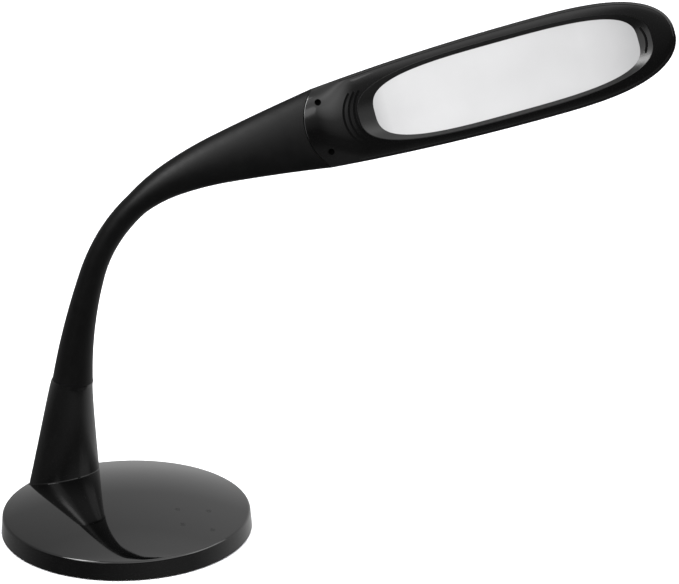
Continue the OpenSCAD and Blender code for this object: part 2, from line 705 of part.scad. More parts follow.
module panel_opening() let (
    low = oval(panel_a, panel_b, panel_n, panel_x, 0),
    high = oval(opening_a, opening_b, opening_n, opening_x, -head_front))
    loft([for (t = [1.6, -0.1]) [for (i = [0:63]) low[i] + (high[i] - low[i]) * t]]);

module head_bezel() color("#141416") in_head() difference() {
    intersection() {
        front_solid();
        head_end();
    }
    panel_opening();
    for (x = vent_x) arc_slot(x + vent_r, vent_r, vent_w, asin(vent_half / vent_r), 180);
    arc_slot(tip_x, tip_r, tip_w, 33, 0);
    translate([dimple_x, 0, -head_f(dimple_x) - 9.6]) cylinder(r = 1.6, h = 10);
    for (t = [-1, 1]) translate([screw_x, t * screw_y, 0]) {
        translate([0, 0, -9]) cylinder(r = 1.4, h = 20);
        translate([0, 0, -10.9]) cylinder(r = 2.4, h = 10);
    }
}

module head_cover() color("#141416") in_head() {
    difference() {
        intersection() {
            back_solid();
            head_end();
        }
        back_hollow();
    }
    for (x = [-post_a, post_a]) for (y = [-post_b, post_b]) translate([panel_x + x, y, post_z])
        cylinder(r = 2, h = head_b(panel_x + x) * 0.92 - post_z - 0.6);
}

module head_screws() color("#9a9a9e") in_head() for (t = [-1, 1]) translate([screw_x, t * screw_y, 0]) {
    translate([0, 0, -2.1]) cylinder(r = 2.1, h = 1.2);
    translate([0, 0, -1.5]) cylinder(r = 1.2, h = 5.5);
}

module diffuser() color("#f2f2ee") in_head() linear_extrude(diffuser_t) polygon(
    flat_oval(panel_a + 3, panel_b + 3, panel_n));

module reflector() color("#e8e8e4") in_head() translate([0, 0, diffuser_t]) linear_extrude(mix_h)
    difference() {
        polygon(flat_oval(mix_a, mix_b, panel_n));
        polygon(flat_oval(mix_a - mix_t, mix_b - mix_t, panel_n));
    }

module led_board() color("#d8d8d4") in_head() translate([0, 0, led_z]) linear_extrude(led_board_t) polygon(
    flat_oval(mix_a - mix_t / 2, mix_b - mix_t / 2, panel_n));

module leds() color("#f4e9a8") in_head() for (y = [-led_b, led_b]) for (i = [0:led_count - 1])
    translate([panel_x - led_a + 2 * led_a * i / (led_count - 1) - 1.4, y - 1.75, led_z - 0.9])
        cube([2.8, 3.5, 0.9]);

module heat_plate() color("#b4b6b8") in_head() translate([0, 0, heat_z]) linear_extrude(heat_t)
    polygon(flat_oval(plate_a, plate_b, panel_n));

foot_pad();
base_plate();
base_weight();
base_cover();
plate_screws();
control_board();
board_screws();
touch_pads();
dc_jack();
power_lead();
stem_shell();
stem_screws();
neck_nut();
neck_core_0();
neck_core_1();
neck_core_2();
neck_core_3();
neck_core_4();
neck_core_5();
neck_core_6();
neck_core_7();
neck_core_8();
neck_sleeve_0();
neck_sleeve_1();
neck_sleeve_2();
neck_sleeve_3();
neck_sleeve_4();
neck_sleeve_5();
neck_sleeve_6();
neck_sleeve_7();
neck_shoulder();
neck_wire_0();
neck_wire_1();
neck_wire_2();
neck_wire_3();
neck_wire_4();
neck_wire_5();
neck_wire_6();
neck_wire_7();
neck_wire_8();
neck_clamp();
head_bezel();
head_cover();
head_screws();
diffuser();
reflector();
led_board();
leds();
heat_plate();
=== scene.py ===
"""LED task lamp: smooth skins, materials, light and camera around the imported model.

Sizes are in millimetres where they repeat the model's own dimensions.
Meshes, lights and camera are in metres.
"""

import json
import math

import bmesh
import bpy
from mathutils import Matrix, Vector

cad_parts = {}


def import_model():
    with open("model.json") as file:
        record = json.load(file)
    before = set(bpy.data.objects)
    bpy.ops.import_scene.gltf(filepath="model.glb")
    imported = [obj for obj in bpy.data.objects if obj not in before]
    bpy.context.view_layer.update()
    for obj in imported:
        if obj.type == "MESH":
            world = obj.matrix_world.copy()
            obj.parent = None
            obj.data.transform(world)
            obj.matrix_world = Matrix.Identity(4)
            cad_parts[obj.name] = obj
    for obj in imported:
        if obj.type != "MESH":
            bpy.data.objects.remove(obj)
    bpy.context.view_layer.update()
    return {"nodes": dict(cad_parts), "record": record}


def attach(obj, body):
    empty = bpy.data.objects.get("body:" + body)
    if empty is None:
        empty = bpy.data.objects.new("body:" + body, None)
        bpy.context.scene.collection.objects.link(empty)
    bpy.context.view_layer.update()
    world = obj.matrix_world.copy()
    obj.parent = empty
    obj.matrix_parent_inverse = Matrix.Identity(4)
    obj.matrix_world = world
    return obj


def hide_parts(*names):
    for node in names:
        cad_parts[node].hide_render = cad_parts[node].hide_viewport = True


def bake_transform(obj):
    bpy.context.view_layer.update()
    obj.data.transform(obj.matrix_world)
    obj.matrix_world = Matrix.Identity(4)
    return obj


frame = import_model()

scene = bpy.context.scene
MM = 0.001

# Base
BASE_R = 92.5
BASE_RIM_Z = 13.9
BASE_RISE = 14.0
BASE_EDGE = 2.4
INNER_EDGE = BASE_EDGE - 1
BASE_LEAN = 1.0
COVER_LIFT = 0.8
WALL = 2.2
BASE_TURN = math.radians(-48.7)
WEIGHT_TOP = 11.0
JACK_Z = 7.4
JACK_HOLE_R = 3.6
JACK_HOLE_REACH = 6.0
DOME_R = (BASE_R ** 2 + BASE_RISE ** 2) / (2 * BASE_RISE)

# Touch marks, along and across the base's front direction
BOARD_X = 55.0
BOARD_Y = 18.04
MARK_PLACES = ((-12.4, -3.8), (-0.7, 16.2), (6.2, -13.6), (21, 2))
MARK_R = 2.0
MARK_DEPTH = 0.1
MARK_LIFT = 0.02

# Stem
STEM_BACK = 74.8
STEM_HALF_W = 29.1
STEM_SET = 6.5
STEM_FRONT_D = 29.6
STEM_BACK_D = 7.8
STEM_HALF_D = 15.0
STEM_TOP_W = 15.4
STEM_FOOT_Z = 16.0
STEM_GAP = 0.25
STEM_HOLE_Z = WEIGHT_TOP - 3
FOOT_RANGE = (STEM_FOOT_Z - 4, 40)
FOOT_BEAD_R = 0.5

# Neck
NECK_SHIFT = (7.87, -4.89)
NECK_Z = 97.2
NECK_SLOPE = math.radians(84.3)
NECK_ARCS = ((85, 11.5), (100, 45.3), (40, 8.8), (73, 2.6))
NECK_LEN = sum(reach for reach, turn in NECK_ARCS)
HINGES = 8
HINGE_FIRST = 12.0
HINGE_STEP = 19.6
NECK_FOOT_R = 15.1
NECK_THIN_R = 8.9
NECK_TOP_R = 9.1
NECK_FOOT_CURVE = 1.7
NECK_TOP_CURVE = 1.8
NECK_START = 0.05
SHOULDER_CURVE = 1.22
SHOULDER_SWELL = 0.6
SLEEVE_T = 2.2
BLEND_HALF = 8.8
SHOULDER_S = HINGE_FIRST + (HINGES - 1) * HINGE_STEP
THIN_S = HINGE_FIRST + 5 * HINGE_STEP
SEAM_RANGE = (SHOULDER_S, NECK_LEN + 20)

# Head
HEAD_L = 263.0
HEAD_HALF_W = 36.1
SEAM_W = 29.5
WIDE_X = 157.0
HEAD_BACK = 20.0
SEAM_BACK = 16.5
SEAM_FRONT = 8.0
HEAD_FRONT = 3.0
TIP_CURVE = (3.1, 0.445)
BACK_CURVE = (2.2, 0.6)
HEAD_ROLL = math.radians(-108)
CREST_X = 0.418 * HEAD_L
BLEND_X = 0.228 * HEAD_L
FLAT_X = 195.0
FLAT_RUN = 45.0
FLATTER = 0.2
SEAM_R = 42.0
SEAM_END = -11.2
SEAM_X = SEAM_END + SEAM_R
SEAM_GAP = 0.1
HEAD_START = SEAM_X - SEAM_R - 3.5
SEAM_EDGE = 0.7
TIP_END = HEAD_L - 0.15
PANEL_A = 97.85
PANEL_B = 25.9
PANEL_X = 138.25
PANEL_N = 3.25
OPENING_A = PANEL_A + 10.7
OPENING_B = PANEL_B + 3.5
OPENING_X = PANEL_X - 1.1
OPENING_N = 2.9
RAY_RANGE = (0.5, 4.0)
WALL_RANGE = (0.2, 1.5)
LIP = 0.35
RIM_W = 3.2
RIM_IN = 2.0
RIM_BEAD_R = 0.3
RIM_START = SEAM_X - 20
RIM_TIP = HEAD_L - 20
RIM_NEAR = 0.05
DIFFUSER_T = 2.0
DIFFUSER_LAP = 3.0
DIFFUSER_GAP = 0.02
DIFFUSER_EDGE = 0.3
DIFFUSER_IN = 20.0
SCREW_X = 3.0
SCREW_Y = SEAM_W - 11
SCREW_HOLE_R = 2.4
SCREW_SEAT_Z = -0.9
SCREW_BORE_R = 1.4
SCREW_BORE_Z = (-5, 3)
CUTTER_Z = -12
VENT_R = OPENING_B - 2.4
VENT_REACH = 18.5
VENT_HALF = math.asin(VENT_REACH / VENT_R)
VENT_W = 1.6
VENT_FLOOR_Z = -1
VENT_X = [OPENING_X - OPENING_A - d for d in (10.6, 6.6, 2.7)]
TIP_R = 17.0
TIP_OUT = 5.6
TIP_X = PANEL_X + PANEL_A + TIP_OUT - TIP_R
TIP_HALF = math.radians(33)
TIP_W = 1.8
TIP_TOP_Z = 3
PANEL_GLOW = ((0, 0.26), (0.05, 0.42), (0.12, 0.47), (0.2, 0.49),
              (0.5, 0.46), (0.8, 0.41), (0.9, 0.34), (1, 0.2))
DIMPLE_X = HEAD_L - 10.6
DIMPLE_R = 1.6
DIMPLE_DEPTH = 0.4

# Fineness of the meshes
WALL_STEPS = 6
EDGE_STEPS = 12
DOME_STEPS = 40
BASE_POINTS = 240
STEM_STEPS = 40
RING_POINTS = 96
FOOT_POINTS = 160
BEAD_POINTS = 10
MARK_POINTS = 40
DRUM_POINTS = 48
ARC_STEPS = 24
END_STEPS = 8
SLEEVE_STEPS = 16
SHOULDER_STEPS = 80
HEAD_RAYS = 300
RAY_STEPS = 4000
FRONT_STEPS = 32
LIP_STEPS = 5
BACK_STEPS = 40
CROWDING = 2.2
CREST_SHARE = 0.9999
PANEL_POINTS = 200

# Lengths that count as none, the last two in metres
POINT_R = 0.001
SAME_PLACE = 0.00001
NO_LENGTH = 0.000001

# Camera, as fitted to the base's outline in the photograph of 679 by 584 pixels
PHOTO_W = 679
SENSOR_W = 36
FOCAL_PIXELS = 3000
CAMERA_AT = (0.1573, -2.0245, 0.9323)
CAMERA_DOWN = math.radians(20.25)

# Studio: brightness by the height of the direction, behind the camera and behind the lamp
NEAR_SKY = ((-1, 0.2), (-0.3, 0.22), (0, 0.2), (0.12, 0.1), (0.28, 0.1), (0.43, 0.45),
            (0.56, 1.8), (0.63, 1.8), (0.7, 2.6), (0.8, 1.4), (1, 1.2))
FAR_SKY = ((-1, 0.4), (-0.3, 0.5), (0, 0.75), (0.4, 0.65), (0.7, 0.9), (0.81, 1.2), (0.92, 2), (1, 2))
NEAR_TO_FAR = (-0.4, 0.3)

# Shares of that brightness on the left and on the right
LEFT_TO_RIGHT = (-0.5, 0.5)
SIDE_SHARES = (0.55, 1.35)

# Floor, in metres
FLOOR_SIZE = 30
FLOOR_DROP = 0.0002

# Finishes: their noise, the range that it mostly keeps to, and the roughness added in the panel's recess
NOISE_DETAIL = 4.0
NOISE_RANGE = (0.3, 0.7)
WALL_DULLER = 0.22


# Shapes shared with the model
def clip(t):
    return min(1.0, max(0.0, t))


def turns(count):
    """Evenly spaced angles of a full turn."""
    return [2 * math.pi * i / count for i in range(count)]


def front_at(x, y):
    """A place in the base's own directions, turned into the model's."""
    c, s = math.cos(BASE_TURN), math.sin(BASE_TURN)
    return x * c - y * s, x * s + y * c


FOOT_X, FOOT_Y = front_at(-STEM_BACK, 0)
ARM_Y = FOOT_Y + NECK_SHIFT[1]


def neck(s):
    """x, z and slope of the neck's centreline at the distance s from its foot."""
    x, z, slope = FOOT_X + NECK_SHIFT[0], NECK_Z, NECK_SLOPE
    for reach, turn in NECK_ARCS:
        bend = math.radians(turn) / reach
        after = slope - bend * min(s, reach)
        x += (math.sin(slope) - math.sin(after)) / bend
        z += (math.cos(after) - math.cos(slope)) / bend
        slope = after
        s -= reach
        if s <= 0:
            return x, z, slope
    return x + s * math.cos(slope), z + s * math.sin(slope), slope


def spoon(s, y, z):
    """A place beside the neck's line: y across the light panel, z towards the head's back."""
    x0, z0, slope = neck(s)
    c, r = math.cos(HEAD_ROLL), math.sin(HEAD_ROLL)
    n = y * r + z * c
    return x0 - n * math.sin(slope), ARM_Y + y * c - z * r, z0 + n * math.cos(slope)


def dome_z(r, down=0.0):
    """Height of the base's domed top at a distance from its middle."""
    return BASE_RIM_Z + BASE_RISE - DOME_R + math.sqrt((DOME_R - down) ** 2 - r * r)


def neck_section(s):
    """Half width, back depth and front depth of the neck's skin."""
    if s < THIN_S:
        r = NECK_THIN_R + (NECK_FOOT_R - NECK_THIN_R) * (1 - s / THIN_S) ** NECK_FOOT_CURVE
        return r, r, r
    if s < SHOULDER_S:
        part = (s - THIN_S) / (SHOULDER_S - THIN_S)
        r = NECK_THIN_R + (NECK_TOP_R - NECK_THIN_R) * part ** NECK_TOP_CURVE
        return r, r, r
    t = (s - SHOULDER_S) / (NECK_LEN - SHOULDER_S)
    w = NECK_TOP_R + (SEAM_W - NECK_TOP_R) * t ** SHOULDER_CURVE + SHOULDER_SWELL * math.sin(math.pi * t)
    return w, NECK_TOP_R + (SEAM_BACK - NECK_TOP_R) * t, NECK_TOP_R + (SEAM_FRONT - NECK_TOP_R) * t


def head_w(x):
    """Half width of the head at the distance x from the end of the neck's line."""
    if x < WIDE_X:
        return HEAD_HALF_W - (HEAD_HALF_W - SEAM_W) * ((WIDE_X - x) / WIDE_X) ** 2
    along, across = TIP_CURVE
    return HEAD_HALF_W * max(0.0, 1 - ((x - WIDE_X) / (HEAD_L - WIDE_X)) ** along) ** across


def head_b(x):
    """Depth of the head's back on its middle line."""
    if x < CREST_X:
        return HEAD_BACK - (HEAD_BACK - SEAM_BACK) * ((CREST_X - x) / CREST_X) ** 2
    along, across = BACK_CURVE
    return HEAD_BACK * max(0.0, 1 - ((x - CREST_X) / (HEAD_L - CREST_X)) ** along) ** across


def head_f(x):
    """Depth of the head's front on its middle line."""
    t = clip(x / (OPENING_X - OPENING_A))
    return SEAM_FRONT + (HEAD_FRONT - SEAM_FRONT) * t * t * (3 - 2 * t)


def seam_dip(x, y):
    """How far the head's rounded seam edge falls below its surface."""
    inside = SEAM_R - math.hypot(x - SEAM_X, y)
    if x > SEAM_X or inside >= SEAM_EDGE:
        return 0.0
    return SEAM_EDGE - math.sqrt(SEAM_EDGE ** 2 - (SEAM_EDGE - max(0.0, inside)) ** 2)


def arch(x, y):
    """1 on the head's middle line, 0 at its outline."""
    return max(0.0, 1 - (y / max(head_w(x), POINT_R)) ** 2)


def front_z(x, y):
    """The head's front: an ellipse across at the neck, flatter after it and flatter again at the tip."""
    bow = 0.5 - FLATTER * clip((x - HEAD_START) / BLEND_X) - FLATTER * clip((x - FLAT_X) / FLAT_RUN)
    return -max(0.0, head_f(x) * arch(x, y) ** bow - seam_dip(x, y))


def back_z(x, y, wall=0.0):
    """The head's back: an ellipse across at the neck that goes over into a parabola."""
    bow = 0.5 + 0.5 * clip((x - HEAD_START) / (BLEND_X - HEAD_START))
    return max(0.0, (head_b(x) - wall) * arch(x, y) ** bow - seam_dip(x, y))


def oval(a, b, n, x, angle):
    """A place on a rounded oblong."""
    c, s = math.cos(angle), math.sin(angle)
    return x + a * math.copysign(abs(c) ** (2 / n), c), b * math.copysign(abs(s) ** (2 / n), s)


def in_head(x, y):
    """True where a place lies inside the head's outline, seen from the front."""
    if x >= TIP_END or (x < SEAM_X and math.hypot(x - SEAM_X, y) >= SEAM_R):
        return False
    return abs(y) < head_w(x)


def mix(p, q, t):
    """The place at the share t of the way from p to q."""
    return tuple(a + (b - a) * t for a, b in zip(p, q))


def bisect(low, high, test):
    """The value where test turns from true to false."""
    for _ in range(50):
        middle = (low + high) / 2
        low, high = (middle, high) if test(middle) else (low, middle)
    return low


head_matrix = Matrix.Translation(Vector(spoon(NECK_LEN, 0, 0)) * MM)
head_matrix @= Matrix.Rotation(-neck(NECK_LEN)[2], 4, "Y") @ Matrix.Rotation(HEAD_ROLL, 4, "X")


# Meshes
def ring_faces(rings, points, closed):
    """Quads between neighbouring rings that have the same number of points."""
    faces = []
    for j in range(rings if closed else rings - 1):
        for i in range(points):
            a, b = j * points, (j + 1) % rings * points
            k = (i + 1) % points
            faces.append((a + i, a + k, b + k, b + i))
    return faces


def solid(name, rings, closed=False, matrix=None):
    """Closed mesh through rings of points in millimetres: its ends are capped, or joined if closed."""
    points = len(rings[0])
    faces = ring_faces(len(rings), points, closed)
    if not closed:
        last = (len(rings) - 1) * points
        faces += [tuple(range(points)), tuple(range(last + points - 1, last - 1, -1))]
    mesh = bpy.data.meshes.new(name)
    mesh.from_pydata([Vector(p) * MM for ring in rings for p in ring], [], faces)
    if matrix:
        mesh.transform(matrix)
    obj = bpy.data.objects.new(name, mesh)
    scene.collection.objects.link(obj)
    clean(mesh)
    return obj


def clean(mesh):
    """Merges points that coincide and turns all faces outward."""
    work = bmesh.new()
    work.from_mesh(mesh)
    bmesh.ops.remove_doubles(work, verts=work.verts, dist=SAME_PLACE)
    bmesh.ops.dissolve_degenerate(work, edges=work.edges, dist=NO_LENGTH)
    bmesh.ops.recalc_face_normals(work, faces=work.faces)
    work.to_mesh(mesh)
    work.free()


def cut(obj, cutters):
    """Takes the cutters out of a piece and removes them."""
    for cutter in cutters:
        step = obj.modifiers.new("cut", "BOOLEAN")
        step.operation = "DIFFERENCE"
        step.solver = "EXACT"
        step.object = cutter
    bpy.context.view_layer.update()
    done = bpy.data.meshes.new_from_object(obj.evaluated_get(bpy.context.evaluated_depsgraph_get()))
    obj.modifiers.clear()
    obj.data = done
    clean(done)
    for cutter in cutters:
        bpy.data.objects.remove(cutter)


def dress(obj, material, nodes, sharp=35):
    """Smooth shading, material, and the nodes that the piece stands for."""
    obj.data.materials.clear()
    obj.data.materials.append(material)
    obj.data.shade_smooth()
    obj.data.set_sharp_from_angle(angle=math.radians(sharp))
    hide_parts(*nodes)


def circle(r, count, z, x=0.0, y=0.0):
    return [(x + r * math.cos(a), y + r * math.sin(a), z) for a in turns(count)]


def drum(name, r, z0, z1, x=0.0, y=0.0, matrix=None):
    return solid(name, [circle(r, DRUM_POINTS, z, x, y) for z in (z0, z1)], matrix=matrix)


def arc_block(name, x, r, width, half, turn, top):
    """A curved slot's cutter in the head's own directions: one end is round, the other hollow."""
    edge = []
    for side in (1, -1):
        reach = r + side * width / 2
        for i in range(ARC_STEPS + 1):
            a = turn - side * half + 2 * side * half * i / ARC_STEPS
            edge.append((x + reach * math.cos(a), reach * math.sin(a)))
        end = turn + side * half
        end_x, end_y = x + r * math.cos(end), r * math.sin(end)
        for i in range(1, END_STEPS):
            a = end + side * math.pi * i / END_STEPS - (math.pi if side < 0 else 0)
            edge.append((end_x + width / 2 * math.cos(a), end_y + width / 2 * math.sin(a)))
    return solid(name, [[(*p, z) for p in edge] for z in (CUTTER_Z, top)], matrix=head_matrix)


# Materials
def plain(name, **sockets):
    """A material and its shader, which takes the values given."""
    material = bpy.data.materials.new(name)
    material.use_nodes = True
    shader = material.node_tree.nodes["Principled BSDF"]
    for key, value in sockets.items():
        shader.inputs[key.replace("_", " ")].default_value = value
    return material, shader


def noise(tree, scale):
    """Noise in the piece's own directions."""
    place = tree.nodes.new("ShaderNodeTexCoord")
    texture = tree.nodes.new("ShaderNodeTexNoise")
    texture.inputs["Scale"].default_value = scale
    texture.inputs["Detail"].default_value = NOISE_DETAIL
    tree.links.new(place.outputs["Object"], texture.inputs["Vector"])
    return texture.outputs["Fac"]


def ramp_of(tree, value, stops):
    """Colour that follows a value through stops of place and colour."""
    ramp = tree.nodes.new("ShaderNodeValToRGB")
    elements = ramp.color_ramp.elements
    while len(elements) < len(stops):
        elements.new(0.5)
    for element, (place, colour) in zip(elements, stops):
        element.position = place
        element.color = (*colour, 1)
    tree.links.new(value, ramp.inputs["Fac"])
    return ramp.outputs["Color"]


def share(tree, value, low, high, least=0.0, most=1.0):
    """A value's share of the way from low to high, laid between least and most."""
    spread = tree.nodes.new("ShaderNodeMapRange")
    spread.inputs["From Min"].default_value = low
    spread.inputs["From Max"].default_value = high
    spread.inputs["To Min"].default_value = least
    spread.inputs["To Max"].default_value = most
    tree.links.new(value, spread.inputs["Value"])
    return spread.outputs["Result"]


def calc(tree, operation, *values):
    """One step of arithmetic on numbers and sockets."""
    step = tree.nodes.new("ShaderNodeMath")
    step.operation = operation
    for socket, value in zip(step.inputs, values):
        if isinstance(value, (int, float)):
            socket.default_value = value
        else:
            tree.links.new(value, socket)
    return step.outputs["Value"]


def tint(tree, shader, scale, dark, light):
    """Colour that wanders between two tones."""
    colour = ramp_of(tree, noise(tree, scale), tuple(zip(NOISE_RANGE, (dark, light))))
    tree.links.new(colour, shader.inputs["Base Color"])


def gloss(tree, shader, scale, low, high):
    """Roughness that wanders between two values."""
    rough = share(tree, noise(tree, scale), *NOISE_RANGE, low, high)
    tree.links.new(rough, shader.inputs["Roughness"])


def relief(tree, shader, scale, strength, depth):
    """Fine surface relief, with its depth in metres."""
    bump = tree.nodes.new("ShaderNodeBump")
    bump.inputs["Strength"].default_value = strength
    bump.inputs["Distance"].default_value = depth
    tree.links.new(noise(tree, scale), bump.inputs["Height"])
    tree.links.new(bump.outputs["Normal"], shader.inputs["Normal"])


def finish_of(name, dark, light, low, high, tone=40, grain=400, strength=0.1, depth=0.0002, **sockets):
    """A moulded, painted or metal finish: tone, gloss and relief all vary."""
    material, shader = plain(name, **sockets)
    tint(material.node_tree, shader, tone, dark, light)
    gloss(material.node_tree, shader, tone * 2, low, high)
    relief(material.node_tree, shader, grain, strength, depth)
    return material


def grey(v):
    """A grey with a trace of blue."""
    return v, v, v * 1.02


def greys(stops):
    """Stops of a ramp in plain greys, from places and brightnesses."""
    return [(place, (v, v, v)) for place, v in stops]


gloss_black = finish_of("gloss_black", grey(0.0005), grey(0.0009), 0.03, 0.06, 30, 60, 0.015, 0.0001,
                        IOR=1.5)
bezel_black = finish_of("bezel_black", grey(0.0005), grey(0.0009), 0.06, 0.09, 30, 60, 0.015, 0.0001,
                        IOR=1.5)
satin_black = finish_of("satin_black", grey(0.0008), grey(0.0014), 0.22, 0.28, 30, 60, 0.015, 0.0001,
                        IOR=1.5)
soft_black = finish_of("soft_black", grey(0.0008), grey(0.0014), 0.38, 0.45, 60, 2600, 0.2, 0.0001,
                       Specular_IOR_Level=0.165)
pad_rubber = finish_of("pad_rubber", grey(0.012), grey(0.02), 0.75, 0.9, 60, 1500, 0.4)
plate_black = finish_of("plate_black", grey(0.015), grey(0.024), 0.4, 0.55, 50, 1800, 0.35)
weight_iron = finish_of("weight_iron", grey(0.07), grey(0.14), 0.5, 0.7, 80, 700, 0.5, Metallic=1.0)
black_steel = finish_of("black_steel", grey(0.003), grey(0.006), 0.5, 0.6, 200, 2500, 0.15, Metallic=1.0)
steel = finish_of("steel", grey(0.45), grey(0.58), 0.25, 0.4, 200, 2500, 0.15, Metallic=1.0)
board_green = finish_of("board_green", (0.006, 0.06, 0.02), (0.01, 0.09, 0.03), 0.3, 0.45, 120, 900, 0.2)
touch_copper = finish_of("touch_copper", (0.42, 0.22, 0.1), (0.55, 0.3, 0.14), 0.3, 0.45, 150, 1200, 0.2,
                         Metallic=1.0)
wire_black = finish_of("wire_black", grey(0.014), grey(0.022), 0.45, 0.6, 90, 1200, 0.2)
white = finish_of("white", grey(0.72), grey(0.8), 0.4, 0.5, 60, 900, 0.1)
board_aluminium = finish_of("board_aluminium", grey(0.6), grey(0.7), 0.3, 0.45, 120, 1600, 0.2, Metallic=1.0)
led_yellow = finish_of("led_yellow", (0.75, 0.6, 0.2), (0.85, 0.72, 0.3), 0.2, 0.35, 200, 1200, 0.1)
opal = finish_of("opal", grey(0.14), grey(0.16), 0.35, 0.45, 25, 1200, 0.05, Emission_Strength=1.0)
mark_black = finish_of("mark_black", grey(0.006), grey(0.009), 0.5, 0.6, 200, 1500, 0.1,
                       Specular_IOR_Level=0.3)


def head_axes(tree):
    """Places in the head's own directions."""
    place = tree.nodes.new("ShaderNodeTexCoord")
    turn = tree.nodes.new("ShaderNodeMapping")
    turn.vector_type = "TEXTURE"
    turn.inputs["Location"].default_value = head_matrix.to_translation()
    turn.inputs["Rotation"].default_value = head_matrix.to_euler()
    axes = tree.nodes.new("ShaderNodeSeparateXYZ")
    tree.links.new(place.outputs["Object"], turn.inputs["Vector"])
    tree.links.new(turn.outputs["Vector"], axes.inputs["Vector"])
    return axes.outputs


def glow(tree):
    """The panel's light, fading towards both ends."""
    ends = ((PANEL_X - PANEL_A) * MM, (PANEL_X + PANEL_A) * MM)
    light = ramp_of(tree, share(tree, head_axes(tree)["X"], *ends), greys(PANEL_GLOW))
    tree.links.new(light, tree.nodes["Principled BSDF"].inputs["Emission Color"])


def dull_wall(tree, more):
    """A duller finish inside the panel's opening."""
    axes = head_axes(tree)
    total = 0.0
    for axis, middle, half in (("X", OPENING_X, OPENING_A), ("Y", 0.0, OPENING_B)):
        apart = calc(tree, "SUBTRACT", axes[axis], middle * MM)
        part = calc(tree, "ABSOLUTE", calc(tree, "DIVIDE", apart, half * MM))
        total = calc(tree, "ADD", calc(tree, "POWER", part, OPENING_N), total)
    inside = calc(tree, "LESS_THAN", total, 1.0)
    rough = tree.nodes["Principled BSDF"].inputs["Roughness"]
    tree.links.new(calc(tree, "MULTIPLY_ADD", inside, more, rough.links[0].from_socket), rough)


glow(opal.node_tree)
dull_wall(bezel_black.node_tree, WALL_DULLER)

SLOT_LOOKS = {
    "gloss_black": gloss_black, "soft_black": soft_black, "pad_rubber": pad_rubber,
    "plate_black": plate_black, "weight_iron": weight_iron, "steel": steel,
    "board_green": board_green, "touch_copper": touch_copper, "wire_black": wire_black,
    "opal": opal, "white": white, "board_aluminium": board_aluminium, "led_yellow": led_yellow,
}
for row in frame["record"]["subparts"]:
    mesh = frame["nodes"][row["node"]].data
    mesh.materials.clear()
    mesh.materials.append(SLOT_LOOKS[row["material_slot"]])
frame["nodes"]["head_screws"].data.materials[0] = black_steel


# Base cover: one turned shell, open for the stem and the power inlet
def cover_line(foot_r, lean_in, edge, down):
    """Half outline from the rim's foot over the rounded edge to the middle of the dome."""
    r = foot_r - lean_in
    c = BASE_RIM_Z + BASE_RISE - DOME_R + math.sqrt((DOME_R - down - edge) ** 2 - (r - edge) ** 2)
    lean = math.asin((r - edge) / (DOME_R - down - edge))
    line = [mix((foot_r, COVER_LIFT), (r, c), i / WALL_STEPS) for i in range(WALL_STEPS)]
    for i in range(EDGE_STEPS + 1):
        a = (math.pi / 2 - lean) * i / EDGE_STEPS
        line.append((r - edge + edge * math.cos(a), c + edge * math.sin(a)))
    for i in reversed(range(DOME_STEPS)):
        x = (r - edge) * i / DOME_STEPS
        line.append((x, dome_z(x, down)))
    return line


def stem_place(z, angle, grow=0.0):
    """A place on the stem, which is deep in front of its widest line and leans with the neck's foot."""
    t = max(0.0, (z - STEM_FOOT_Z) / (NECK_Z - STEM_FOOT_Z))
    part = max(0.0, 1 - t)
    half = STEM_TOP_W + (STEM_HALF_W - STEM_TOP_W) * part + grow
    foot_d = STEM_FRONT_D if math.cos(angle) > 0 else STEM_BACK_D
    depth = STEM_HALF_D + (foot_d - STEM_HALF_D) * part + grow
    set_x, set_y = front_at(-STEM_SET * math.sqrt(part), 0)
    lean = math.tan(t * (math.pi / 2 - NECK_SLOPE))
    x, y = front_at(depth * math.cos(angle), half * math.sin(angle))
    return FOOT_X + NECK_SHIFT[0] * t + set_x + x, FOOT_Y + NECK_SHIFT[1] * t + set_y + y, z - x * lean


def stem_rings(z0, grow=0.0):
    """The stem's outlines from a height up to the neck's foot."""
    heights = [z0 + (NECK_Z - z0) * i / STEM_STEPS for i in range(STEM_STEPS + 1)]
    return [[stem_place(z, a, grow) for a in turns(RING_POINTS)] for z in heights]


turned = cover_line(BASE_R - WALL, 0.0, INNER_EDGE, WALL)[::-1]
turned += cover_line(BASE_R, BASE_LEAN, BASE_EDGE, 0.0)
base_skin = solid("base_skin", [circle(max(r, POINT_R), BASE_POINTS, z) for r, z in turned])
inlet = Matrix.Translation((0, 0, JACK_Z * MM)) @ Matrix.Rotation(-math.pi / 2, 4, "X")
cut(base_skin, [
    solid("stem_hole", stem_rings(STEM_HOLE_Z, STEM_GAP)),
    drum("inlet_hole", JACK_HOLE_R, BASE_R - JACK_HOLE_REACH, BASE_R + JACK_HOLE_REACH, matrix=inlet),
])
dress(base_skin, gloss_black, ["base_cover"])
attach(base_skin, "base")

stem_skin = solid("stem_skin", stem_rings(WEIGHT_TOP))
dress(stem_skin, satin_black, ["stem_shell"])
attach(stem_skin, "base")


# Thin beads where two shells meet
def bead(name, places, r, closed, matrix=None):
    """A round bead through places given with two directions across it."""
    rings = []
    for place, side, up in places:
        place, side, up = Vector(place), Vector(side).normalized(), Vector(up).normalized()
        rings.append([place + (side * math.cos(a) + up * math.sin(a)) * r for a in turns(BEAD_POINTS)])
    return solid(name, rings, closed, matrix)


def on_dome(angle):
    """The place where a line of the stem meets the dome."""
    def below(z):
        x, y, high = stem_place(z, angle)
        return high < dome_z(math.hypot(x, y))
    return Vector(stem_place(bisect(*FOOT_RANGE, below), angle))


def foot_line():
    """The line where the stem stands on the dome."""
    places = []
    for a in turns(FOOT_POINTS):
        spot = on_dome(a)
        out = spot - Vector((FOOT_X, FOOT_Y, spot.z))
        places.append((spot, (out.x, out.y, 0), (0, 0, 1)))
    return places


foot_bead = bead("foot_bead", foot_line(), FOOT_BEAD_R, True)
dress(foot_bead, gloss_black, ["stem_shell"])
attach(foot_bead, "base")


